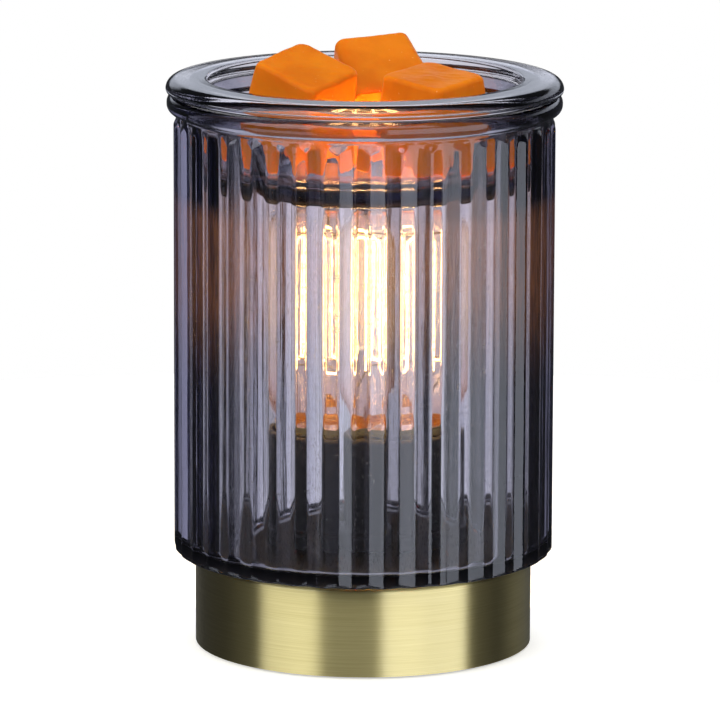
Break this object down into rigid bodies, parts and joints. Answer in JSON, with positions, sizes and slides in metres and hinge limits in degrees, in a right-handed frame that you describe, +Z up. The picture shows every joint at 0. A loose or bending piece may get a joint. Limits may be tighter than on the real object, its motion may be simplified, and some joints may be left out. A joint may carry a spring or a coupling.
{
  "type": "wax melt warmer",
  "caption": "Table wax melt warmer: a ribbed smoke-glass shade on a brushed brass drum, with a screw-in tubular lamp inside and a lift-out glass dish that holds the melts.",
  "frame": {"origin": "centre of the circle that the feet stand on, on the table", "axes": "+Z up along the axis of the shade, the drum and the lamp; +Y towards the back, where the cord inlet is; +X to the right seen from the front"},
  "size_m": [0.1138, 0.1138, 0.1712],
  "materials": {
    "orange_wax": "soft waxy sheen, slightly translucent",
    "smoke_glass": "clear pressed glass with a grey tint",
    "lamp_glass": "clear, thin",
    "clear_silicone": "matt",
    "black_rubber": "matt",
    "black_moulding": "satin thermoset moulding",
    "black_plastic": "fine spark-eroded texture",
    "plain_brass": "bright",
    "brushed_brass": "antique brass, brushed round the drum, lacquered",
    "zinc_steel": "zinc plated",
    "glowing_wire": "incandescent",
    "support_wire": "drawn wire",
    "black_glass": "glossy",
    "solder": "dull"
  },
  "bodies": {
    "base": {"glass_shade": "smoke_glass", "shade_gasket": "clear_silicone", "socket_washer": "black_rubber", "lamp_socket": "black_moulding", "socket_screw_shell": "plain_brass", "socket_contact": "plain_brass", "terminal_screws": "plain_brass", "socket_nipple": "zinc_steel", "nipple_washer": "zinc_steel", "nipple_nut": "zinc_steel", "base_shell": "brushed_brass", "base_lugs": "zinc_steel", "bottom_cover": "black_plastic", "cover_screws": "zinc_steel", "rubber_feet": "black_rubber", "cord_grommet": "black_rubber"},
    "dish": {"melt_dish": "smoke_glass"},
    "melt_left": {"wax_melt_left": "orange_wax"},
    "melt_back": {"wax_melt_back": "orange_wax"},
    "melt_right": {"wax_melt_right": "orange_wax"},
    "lamp_tip": {"bulb_tip": "solder"},
    "lamp": {"bulb_insulator": "black_glass", "bulb_cap": "plain_brass", "bulb_envelope": "lamp_glass", "bulb_stem": "lamp_glass", "filament": "glowing_wire", "filament_supports": "support_wire", "filament_leads": "support_wire"}
  },
  "joints": [
    {"name": "dish_lift", "type": "slide", "parent": "base", "child": "dish", "axis": [0, 0, 1], "range_m": [0, 0.05]},
    {"name": "left_melt_lift", "type": "slide", "parent": "dish", "child": "melt_left", "axis": [0, 0, 1], "range_m": [0, 0.04]},
    {"name": "back_melt_lift", "type": "slide", "parent": "dish", "child": "melt_back", "axis": [0, 0, 1], "range_m": [0, 0.04]},
    {"name": "right_melt_lift", "type": "slide", "parent": "dish", "child": "melt_right", "axis": [0.104, -0.1801, 0.9781], "range_m": [0, 0.04]},
    {"name": "bulb_rise", "type": "slide", "parent": "base", "child": "lamp_tip", "axis": [0, 0, 1], "range_m": [0, 0.0046]},
    {"name": "bulb_turn", "type": "hinge", "parent": "lamp_tip", "child": "lamp", "pos_m": [0, 0, 0.05], "axis": [0, 0, 1], "range_deg": [0, 450]}
  ],
  "couplings": [
    {"joint": "bulb_rise", "follows": "bulb_turn", "m_per_rad": 0.0005775}
  ]
}
